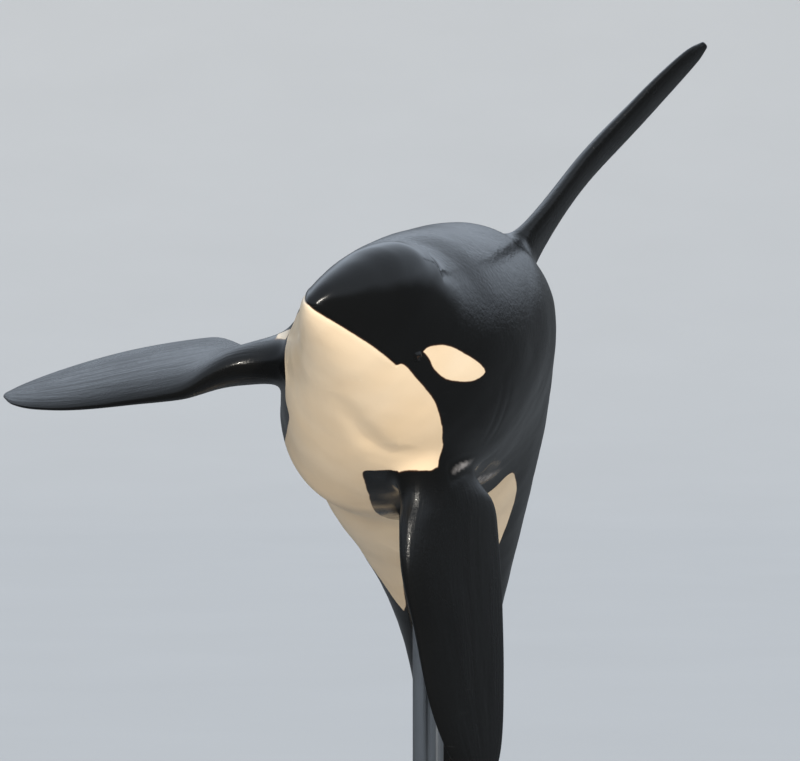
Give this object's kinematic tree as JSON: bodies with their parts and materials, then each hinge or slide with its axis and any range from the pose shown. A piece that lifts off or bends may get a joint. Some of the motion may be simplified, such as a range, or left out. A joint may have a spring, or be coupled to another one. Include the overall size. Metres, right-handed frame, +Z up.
{
  "type": "orca display model",
  "caption": "Life-size still model of a leaping adult male orca, held by two rods on a flat display base.",
  "frame": {"origin": "middle of the underside of the stand's base, on the floor", "axes": "+Z up, the animal heads towards -Y, its left side is towards +X"},
  "size_m": [3.5654, 5.7576, 5.2123],
  "materials": {
    "black_skin": "wet gloss",
    "white_skin": "wet gloss",
    "eye": "wet gloss",
    "stand_paint": "satin",
    "stand_steel": "brushed",
    "stand_rubber": "matt"
  },
  "bodies": {
    "root": {"head": "black_skin", "lower_jaw": "white_skin", "throat": "white_skin", "eye_left": "eye", "eye_right": "eye", "eye_patch_left": "white_skin", "eye_patch_right": "white_skin", "torso_front": "black_skin", "torso_middle": "black_skin", "torso_rear": "black_skin", "tail_root": "black_skin", "chest": "white_skin", "belly_front": "white_skin", "belly_middle": "white_skin", "belly_rear": "white_skin", "tail_stock_front": "black_skin", "tail_stock_rear": "black_skin", "flipper_left": "black_skin", "flipper_right": "black_skin", "dorsal_fin": "black_skin", "fluke_left": "black_skin", "fluke_right": "black_skin", "stand_base": "stand_paint", "stand_collar_front": "stand_steel", "stand_collar_rear": "stand_steel", "stand_rod_front": "stand_steel", "stand_rod_rear": "stand_steel", "stand_pad_front": "stand_rubber", "stand_pad_rear": "stand_rubber"}
  },
  "joints": []
}
